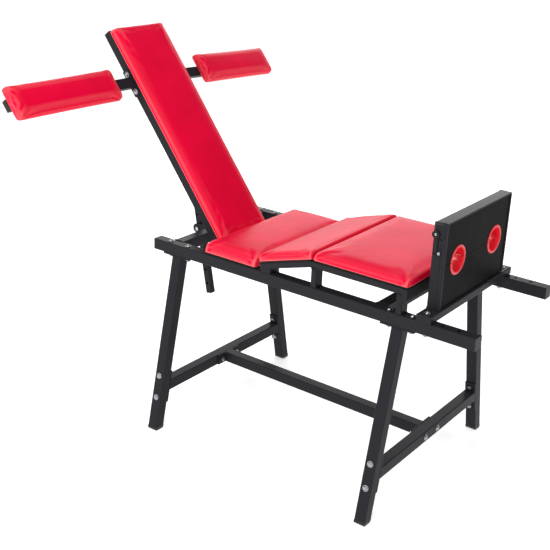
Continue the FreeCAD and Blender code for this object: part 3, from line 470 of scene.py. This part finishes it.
def pad_mesh(name, half, shoulder, thick, crown):
    """Closed pad with a flat underside, upright sides and rounded, crowned top."""
    lines = [grid_lines(half[0], shoulder[0]), grid_lines(half[1], shoulder[1])]
    rise = min(shoulder[2], thick)
    levels = [(thick - rise) * k / 2 for k in range(2)]
    levels += [thick - rise + rise * math.sin(math.pi / 2 * k / EDGE_STEPS)
               for k in range(EDGE_STEPS + 1)]
    lines.append(levels)
    index, verts, faces = {}, [], []

    def vertex(i, j, k):
        if (i, j, k) not in index:
            corner = Vector((lines[0][i], lines[1][j], lines[2][k]))
            index[(i, j, k)] = len(verts)
            verts.append(pad_point(corner, half, shoulder, thick, crown))
        return index[(i, j, k)]

    last = [len(line) - 1 for line in lines]
    for fixed in range(3):
        a, b = [axis for axis in range(3) if axis != fixed]
        for side in (0, last[fixed]):
            for p in range(last[a]):
                for q in range(last[b]):
                    ring = []
                    for step_a, step_b in ((0, 0), (1, 0), (1, 1), (0, 1)):
                        spot = [0, 0, 0]
                        spot[fixed], spot[a], spot[b] = side, p + step_a, q + step_b
                        ring.append(vertex(*spot))
                    faces.append(tuple(ring))
    return tidy_normals(mesh_from(name, verts, faces))


def tidy_normals(mesh):
    work = bmesh.new()
    work.from_mesh(mesh)
    bmesh.ops.recalc_face_normals(work, faces=work.faces)
    bmesh.ops.triangulate(work, faces=[f for f in work.faces if len(f.verts) > 4])
    work.to_mesh(mesh)
    work.free()
    return mesh


def apply_modifiers(piece):
    graph = bpy.context.evaluated_depsgraph_get()
    mesh = bpy.data.meshes.new_from_object(piece.evaluated_get(graph))
    old = piece.data
    piece.modifiers.clear()
    piece.data = mesh
    bpy.data.meshes.remove(old)


def swell(piece):
    """Inflate a pad a little as cloth, holding its underside and capping its travel."""
    start = [v.co.copy() for v in piece.data.vertices]
    group = piece.vertex_groups.new(name="held")
    group.add([v.index for v in piece.data.vertices if v.co.z < HELD_HEIGHT], 1.0, "REPLACE")
    cloth = piece.modifiers.new("cloth", "CLOTH")
    settings = cloth.settings
    settings.use_pressure = True
    settings.uniform_pressure_force = PRESSURE
    settings.vertex_group_mass = "held"
    settings.effector_weights.gravity = 0.0
    settings.tension_stiffness = 30
    settings.compression_stiffness = 30
    settings.bending_stiffness = 2.0
    settings.quality = 5
    cloth.point_cache.frame_start = 1
    cloth.point_cache.frame_end = SIM_FRAMES
    scene = bpy.context.scene
    for number in range(1, SIM_FRAMES + 1):
        scene.frame_set(number)
    apply_modifiers(piece)
    scene.frame_set(1)
    piece.vertex_groups.clear()
    for vertex, origin in zip(piece.data.vertices, start):
        move = vertex.co - origin
        if move.length > SWELL_CAP:
            vertex.co = origin + move * (SWELL_CAP / move.length)


def corner_folds(piece, half, thick):
    """Soft pleats in the vinyl where it is pulled round each corner."""
    for vertex in piece.data.vertices:
        p = vertex.co
        if p.z < FOLD_FROM:
            continue
        away = Vector((half[0] - abs(p.x), half[1] - abs(p.y)))
        near = math.exp(-(away.length / FOLD_REACH) ** 2)
        near *= 1 - math.exp(-(away.length / FOLD_CLEAR) ** 2)
        if near < 0.02:
            continue
        angle = math.atan2(away.y + 0.006, away.x + 0.006)
        pleat = sum(share * math.exp(-((angle - turn) / width) ** 2) for turn, width, share in PLEATS)
        soft = 0.25 * noise.noise(p * 55)
        low = min(1.0, p.z / thick)
        vertex.co.z -= FOLD_DEPTH * near * low * (pleat + soft)


def hand_marks(piece):
    """Slow, shallow waves that foam always shows under stretched vinyl."""
    for vertex in piece.data.vertices:
        p = vertex.co
        if p.z < MARK_FROM:
            continue
        slow = noise.noise(Vector((p.x * 9 + 3.1, p.y * 9, p.z * 9)))
        mid = noise.noise(Vector((p.x * 26, p.y * 26 + 1.7, p.z * 26)))
        vertex.co.z += MARK_DEPTH * (0.75 * slow + 0.25 * mid)


def cushion(name, node, body, turn, thick, crown, shoulder, wrap=0.0):
    """Make one pad in place of its CAD solid.

    turn maps the pad's own frame, with its face along +Z, to the bench's.
    shoulder is the run of the rounded edges along x, y and z, and wrap is how far the
    vinyl reaches down over the edge of the backing board."""
    low, high = local_box(node, turn)
    centre = (low + high) / 2
    half = ((high.x - low.x) / 2 - PAD_SHRINK, (high.y - low.y) / 2 - PAD_SHRINK)
    piece = new_object(name, pad_mesh(name, half, shoulder, thick, crown), body)
    swell(piece)
    hand_marks(piece)
    corner_folds(piece, half, thick)
    piece.data.transform(turn @ Matrix.Translation((centre.x, centre.y, low.z - wrap)))
    for polygon in piece.data.polygons:
        polygon.use_smooth = True
    smooth = piece.modifiers.new("smooth", "SUBSURF")
    smooth.levels = 1
    smooth.render_levels = 1
    finish_piece(piece, "red_vinyl")
    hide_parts(node)


def facing(x_axis, z_axis):
    """Matrix of a frame whose +Z is the pad's outward face."""
    z = Vector(z_axis).normalized()
    x = Vector(x_axis).normalized()
    y = z.cross(x)
    return Matrix((x, y, z)).transposed().to_4x4()


def make_cushions():
    back = facing(UP_SLOPE, OUT_SLOPE)
    arm_shoulder = (0.020, 0.014, 0.020)
    arm_wrap = 0.0045
    cushion("back_cushion", "back_pad", "back", back, 0.0252, 0.0045, (0.009, 0.028, 0.016))
    cushion("arm_cushion_near", "arm_pad_near", "back", back, 0.0275, 0.0060, arm_shoulder, arm_wrap)
    yaw = Matrix.Rotation(ARM_FAR_YAW, 4, UP_SLOPE)
    far = facing(UP_SLOPE, yaw @ OUT_SLOPE)
    cushion("arm_cushion_far", "arm_pad_far", "back", far, 0.0275, 0.0060, arm_shoulder, arm_wrap)
    level = facing((1, 0, 0), (0, 0, 1))
    cushion("seat_cushion", "seat_pad", "bench", level, 0.0345, 0.0065, (0.012, 0.030, 0.024))
    cushion("calf_cushion", "calf_pad", "bench", level, 0.0230, 0.0050, (0.009, 0.028, 0.018))
    slope = facing((math.cos(THIGH_ANGLE), 0, math.sin(THIGH_ANGLE)),
                   (-math.sin(THIGH_ANGLE), 0, math.cos(THIGH_ANGLE)))
    cushion("thigh_cushion", "thigh_pad", "bench", slope, 0.0240, 0.003, (0.006, 0.018, 0.013))


# === ankle hole linings ====================================================
def lining_profile(length):
    """(along, radius) round the section of the lining: thin wall with a rolled lip."""
    run = length - LINING_CHAMFER - 0.004
    points = [(0.0, LINING_OUTER - LINING_CHAMFER), (0.0, LINING_INNER + LINING_CHAMFER),
              (LINING_CHAMFER, LINING_INNER)]
    for k in range(1, 8):
        points.append((LINING_CHAMFER + run * k / 8, LINING_INNER))
    middle_r = (LINING_INNER + LINING_LIP) / 2
    swing = (LINING_LIP - LINING_INNER) / 2
    for k in range(9):
        angle = math.pi * k / 8
        points.append((length + LINING_ROLL * math.sin(angle), middle_r - swing * math.cos(angle)))
    points.append((length - 0.0002, LINING_OUTER))
    points.append((LINING_CHAMFER, LINING_OUTER))
    return points


def half_lining(name, centre, start, length, upper, body):
    """Half of a hole's lining, as a swept section with closed ends."""
    profile = lining_profile(length)
    first = 0.0 if upper else math.pi
    verts = []
    for k in range(LINING_STEPS + 1):
        angle = first + math.pi * k / LINING_STEPS
        for along, radius in profile:
            ease = LINING_GAP / radius
            turn = min(max(angle, first + ease), first + math.pi - ease)
            verts.append(Vector((start + along, centre.y + radius * math.cos(turn),
                                 centre.z + radius * math.sin(turn))))
    ring = len(profile)
    faces = []
    for k in range(LINING_STEPS):
        for i in range(ring):
            n = (i + 1) % ring
            faces.append((k * ring + i, k * ring + n, (k + 1) * ring + n, (k + 1) * ring + i))
    faces.append(tuple(range(ring - 1, -1, -1)))
    faces.append(tuple(LINING_STEPS * ring + i for i in range(ring)))
    piece = new_object(name, tidy_normals(mesh_from(name, verts, faces)), body)
    finish_piece(piece, "red_lining")
    crisp_edges(piece, LINING_SPLIT)
    return piece


def make_linings():
    low, high = box_of("lower_sleeves")
    panel_high = box_of("lower_panel")[1]
    radius = high.z - low.z
    split_z = (panel_high.z + box_of("upper_panel")[0].z) / 2
    lower, upper = [], []
    for tag, y in (("near", low.y + radius), ("far", high.y - radius)):
        centre = Vector((0, y, split_z))
        length = panel_high.x - low.x
        lower.append(half_lining("lower_lining_" + tag, centre, low.x, length, False, "bench"))
        upper.append(half_lining("upper_lining_" + tag, centre, low.x, length, True, "gate"))
    for piece in lower:
        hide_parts("lower_sleeves")
    for piece in upper:
        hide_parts("upper_sleeves")


# === welds and small hardware ==============================================
def rectangle(centre, first, second):
    """Closed loop of corners round a centre, from two half-side vectors."""
    return [centre + first + second, centre - first + second, centre - first - second,
            centre + first - second, centre + first + second]


def bead(verts, faces, start, end):
    """One rippled weld bead along a straight seam."""
    run = end - start
    length = run.length
    if length < 0.004:
        return
    along = run.normalized()
    side = along.orthogonal().normalized()
    other = along.cross(side)
    steps = max(4, int(length / BEAD_STEP))
    base = len(verts)
    for k in range(steps + 1):
        travel = length * k / steps
        ripple = 0.80 + 0.20 * abs(math.sin(travel * math.pi / RIPPLE_LENGTH))
        drift = 1 + 0.12 * noise.noise((start + along * travel) * 90)
        taper = min(1.0, (travel + 0.0005) / 0.003, (length - travel + 0.0005) / 0.003)
        size = BEAD_RADIUS * ripple * drift * math.sqrt(taper)
        for i in range(BEAD_SIDES):
            angle = 2 * math.pi * i / BEAD_SIDES
            spoke = side * math.cos(angle) + other * math.sin(angle)
            verts.append(start + along * travel + spoke * size)
    for k in range(steps):
        ring = base + k * BEAD_SIDES
        for i in range(BEAD_SIDES):
            n = (i + 1) % BEAD_SIDES
            faces.append((ring + i, ring + n, ring + BEAD_SIDES + n, ring + BEAD_SIDES + i))
    faces.append(tuple(base + i for i in range(BEAD_SIDES - 1, -1, -1)))
    faces.append(tuple(base + steps * BEAD_SIDES + i for i in range(BEAD_SIDES)))


def weld_piece(name, loops, body):
    verts, faces = [], []
    for loop in loops:
        for start, end in zip(loop, loop[1:]):
            bead(verts, faces, start, end)
    piece = new_object(name, mesh_from(name, verts, faces), body)
    finish_piece(piece, "black_frame")


def both(loops):
    """The loops and their copies on the bench's other side."""
    flipped = [[Vector((p.x, -p.y, p.z)) for p in loop] for loop in loops]
    return loops + flipped


def frame_welds():
    rail_low, rail_high = box_of("side_rail_far")
    inner = rail_low.y
    loops = []
    for node in ("rear_crossbar", "seat_crossbar", "front_crossbar"):
        low, high = box_of(node)
        centre = Vector(((low.x + high.x) / 2, inner, (low.z + high.z) / 2))
        half_x = Vector(((high.x - low.x) / 2, 0, 0))
        half_z = Vector((0, 0, (high.z - low.z) / 2))
        loops.append(rectangle(centre, half_x, half_z))
    mid_y = (rail_low.y + rail_high.y) / 2
    half_y = Vector((0, (rail_high.y - rail_low.y) / 2, 0))
    low, high = box_of("pad_posts")
    half_x = Vector((POST_HALF, 0, 0))
    for x in (low.x + half_x.x, high.x - half_x.x):
        for z in (low.z, high.z):
            loops.append(rectangle(Vector((x, mid_y, z)), half_x, half_y))
    low, high = box_of("board_posts")
    centre = Vector(((low.x + high.x) / 2, high.y - BOARD_POST_WIDTH / 2, low.z))
    half_x = Vector(((high.x - low.x) / 2, 0, 0))
    loops.append(rectangle(centre, half_x, Vector((0, BOARD_POST_WIDTH / 2, 0))))
    for node in ("legs_rear", "legs_front"):
        low, high = box_of(node)
        x = (low.x + high.x) / 2
        z = high.z - 0.005
        lean = math.atan2(high.y - mid_y - TUBE_HALF, high.z)
        half_y = Vector((0, TUBE_HALF / math.cos(lean), 0))
        loops.append(rectangle(Vector((x, LEG_TOP_Y, z)), Vector((TUBE_HALF, 0, 0)), half_y))
    weld_piece("frame_welds", both(loops), "bench")


def back_welds():
    """Seams of the back's rungs and of the two arm bars' flanges."""
    turn = facing(UP_SLOPE, OUT_SLOPE)
    low, high = local_box("back_side_tubes", turn)
    depth = Vector((0, 0, (high.z - low.z) / 2))
    mid_t = (low.z + high.z) / 2
    loops = []
    arm_low, arm_high = local_box("arm_bar_near", turn)
    arm_s = (arm_low.x + arm_high.x) / 2
    rung_y = high.y - (high.z - low.z)
    for s in (arm_s, high.x - RUNG_HALF):
        loops.append(rectangle(Vector((s, rung_y, mid_t)), Vector((RUNG_HALF, 0, 0)), depth))
    flange = Vector((arm_s, high.y + 0.005, mid_t))
    loops.append(rectangle(flange, Vector((TUBE_HALF, 0, 0)), Vector((0, 0, FLANGE_HALF))))
    loops = [[turn @ p for p in loop] for loop in both(loops)]
    weld_piece("back_welds", loops, "back")


def lathe(profile, place, out, count=28):
    """Vertices and faces of (radius, height) points turned about an outward axis."""
    axis = Vector(out).normalized()
    side = axis.orthogonal().normalized()
    other = axis.cross(side)
    verts = []
    for radius, height in profile:
        for k in range(count):
            angle = 2 * math.pi * k / count
            spoke = side * math.cos(angle) + other * math.sin(angle)
            verts.append(place + axis * height + spoke * radius)
    faces = []
    for j in range(len(profile) - 1):
        for k in range(count):
            n = (k + 1) % count
            faces.append((j * count + k, j * count + n, (j + 1) * count + n, (j + 1) * count + k))
    faces.append(tuple(range(count - 1, -1, -1)))
    faces.append(tuple((len(profile) - 1) * count + k for k in range(count)))
    return verts, faces


def hardware(name, spots, profile, body, slot):
    """The same turned piece at several (place, outward) spots, as one object."""
    verts, faces = [], []
    for place, out in spots:
        more, rings = lathe(profile, Vector(place), out)
        faces += [tuple(i + len(verts) for i in ring) for ring in rings]
        verts += more
    piece = new_object(name, mesh_from(name, verts, faces), body)
    finish_piece(piece, slot)
    crisp_edges(piece, HARDWARE_SPLIT)


def board_screws():
    """Screws that come up through the tubes into the backing boards."""
    low, high = box_of("calf_frame")
    y = (box_of("side_rail_far")[0].y + high.y) / 2
    z = high.z - 0.020
    down = (0, 0, -1)
    spots = []
    for x in (low.x + 0.070, (low.x + high.x) / 2, high.x - 0.070):
        spots += [((x, y, z), down), ((x, -y, z), down)]
    low, high = box_of("seat_crossbar")
    for y in (-0.15, 0.15):
        spots.append((((low.x + high.x) / 2, y, low.z), down))
    hardware("bench_screws", spots, SCREW_PROFILE, "bench", "zinc_steel")
    turn = facing(UP_SLOPE, OUT_SLOPE)
    low, high = local_box("back_side_tubes", turn)
    rear = turn.to_3x3() @ Vector((0, 0, -1))
    spots = []
    for share in (0.14, 0.42, 0.66, 0.92):
        for y in (low.y + 0.015, high.y - 0.015):
            spots.append((turn @ Vector((low.x + share * (high.x - low.x), y, low.z)), rear))
    hardware("back_screws", spots, SCREW_PROFILE, "back", "zinc_steel")


def rounded_plate(low, high, radius):
    """Thin plate in the XZ plane with rounded corners."""
    corners = []
    left, right = low.x + radius, high.x - radius
    bottom, top = low.z + radius, high.z - radius
    for cx, cz, start in ((right, top, 0), (left, top, 90), (left, bottom, 180), (right, bottom, 270)):
        for k in range(6):
            angle = math.radians(start + 90 * k / 5)
            corners.append((cx + radius * math.cos(angle), cz + radius * math.sin(angle)))
    count = len(corners)
    verts = [Vector((x, low.y, z)) for x, z in corners] + [Vector((x, high.y, z)) for x, z in corners]
    faces = [tuple(range(count)), tuple(range(2 * count - 1, count - 1, -1))]
    for k in range(count):
        n = (k + 1) % count
        faces.append((k, k + count, n + count, n))
    return verts, faces


def cover_plate(name, low, high, body):
    plate = rounded_plate(low, high, PLATE_CORNER)
    piece = new_object(name, tidy_normals(mesh_from(name, *plate, smooth=False)), body)
    finish_piece(piece, "black_frame")


def latch_details():
    """Plate, knob and screw on the gate's near end, and the stud's keeper plate."""
    screw = middle("latch_screw")
    stud = middle("latch_stud")
    face = box_of("board_posts")[0].y
    bar_low = box_of("top_bar")[0]
    cover_plate("latch_plate", Vector((bar_low.x + 0.002, face - PLATE_THICK, bar_low.z + 0.001)),
                Vector((bar_low.x + 0.030, face, bar_low.z + 0.040)), "gate")
    cover_plate("keeper_plate", Vector((stud.x - 0.020, face - PLATE_THICK, stud.z - 0.009)),
                Vector((stud.x + 0.0055, face, stud.z + 0.009)), "bench")
    outer = box_of("latch_screw")[0].y
    near = (0, -1, 0)
    hardware("latch_knob", [((screw.x, outer + 0.0030, screw.z), near)], KNOB_PROFILE, "gate",
             "black_plastic")
    hardware("latch_knob_screw", [((screw.x, outer + 0.0003, screw.z), near)], SCREW_PROFILE, "gate",
             "zinc_steel")


# === stage =================================================================
def make_floor():
    verts = [(-FLOOR_HALF, -FLOOR_HALF, 0), (FLOOR_HALF, -FLOOR_HALF, 0),
             (FLOOR_HALF, FLOOR_HALF, 0), (-FLOOR_HALF, FLOOR_HALF, 0)]
    mesh = mesh_from("floor", verts, [(0, 1, 2, 3)], False)
    floor = bpy.data.objects.new("floor", mesh)
    bpy.context.scene.collection.objects.link(floor)
    floor.location.z = -FLOOR_DROP
    floor.data.materials.append(floor_material())


def area_light(name, place, target, size, power, colour=(1, 1, 1)):
    data = bpy.data.lights.new(name, "AREA")
    data.shape = "RECTANGLE"
    data.size = size[0]
    data.size_y = size[1]
    data.energy = power
    data.color = colour
    light = bpy.data.objects.new(name, data)
    light.location = place
    look = Vector(target) - Vector(place)
    light.rotation_euler = look.to_track_quat("-Z", "Y").to_euler()
    light.visible_camera = False
    bpy.context.scene.collection.objects.link(light)


def make_world():
    """Studio surround by height: pale horizon, dark band above it and a bright ceiling."""
    world = bpy.data.worlds.new("studio")
    bpy.context.scene.world = world
    world.use_nodes = True
    tree = world.node_tree
    source = add(tree, "ShaderNodeTexCoord")
    split = add(tree, "ShaderNodeSeparateXYZ")
    tree.links.new(source.outputs["Generated"], split.inputs["Vector"])
    levels = ((0.0, 1.0), (0.16, 1.0), (0.34, 0.07), (0.55, 0.09), (0.90, 0.93))
    surround = ramp(tree, split.outputs["Z"], [(height, (level,) * 3) for height, level in levels])
    background = tree.nodes["Background"]
    tree.links.new(surround, background.inputs["Color"])
    background.inputs["Strength"].default_value = 1.04


def make_lights():
    make_world()
    warm = (1.0, 0.96, 0.92)
    area_light("key", (-0.6, -3.4, 2.2), (-0.2, -0.2, 0.9), (0.7, 0.7), 56, warm)
    area_light("front", (1.3, -2.2, 3.2), (-0.2, 0.0, 1.0), (0.4, 0.4), 22)
    area_light("backdrop", (-2.7, 3.7, 2.4), (0.1, 0.0, 0.7), (5.0, 2.4), 94)


def make_camera():
    """Camera solved for the view from the near front corner, slightly above."""
    place = Vector((1.8755, -2.7006, 1.8942))
    azimuth, pitch, roll = (math.radians(a) for a in (36.26, 21.83, 2.23))
    forward = Vector((-math.sin(azimuth) * math.cos(pitch), math.cos(azimuth) * math.cos(pitch),
                      -math.sin(pitch)))
    right = forward.cross(Vector((0, 0, 1))).normalized()
    up = right.cross(forward)
    side = right * math.cos(roll) + up * math.sin(roll)
    top = up * math.cos(roll) - right * math.sin(roll)
    data = bpy.data.cameras.new("camera")
    data.sensor_width = 36.0
    data.lens = 64.82
    camera = bpy.data.objects.new("camera", data)
    camera.matrix_world = Matrix((side, top, -forward)).transposed().to_4x4()
    camera.location = place
    bpy.context.scene.collection.objects.link(camera)
    bpy.context.scene.camera = camera


def main():
    dress_cad()
    make_cushions()
    make_linings()
    frame_welds()
    back_welds()
    board_screws()
    latch_details()
    make_floor()
    make_lights()
    make_camera()
    bpy.context.scene.view_settings.view_transform = "Standard"


main()
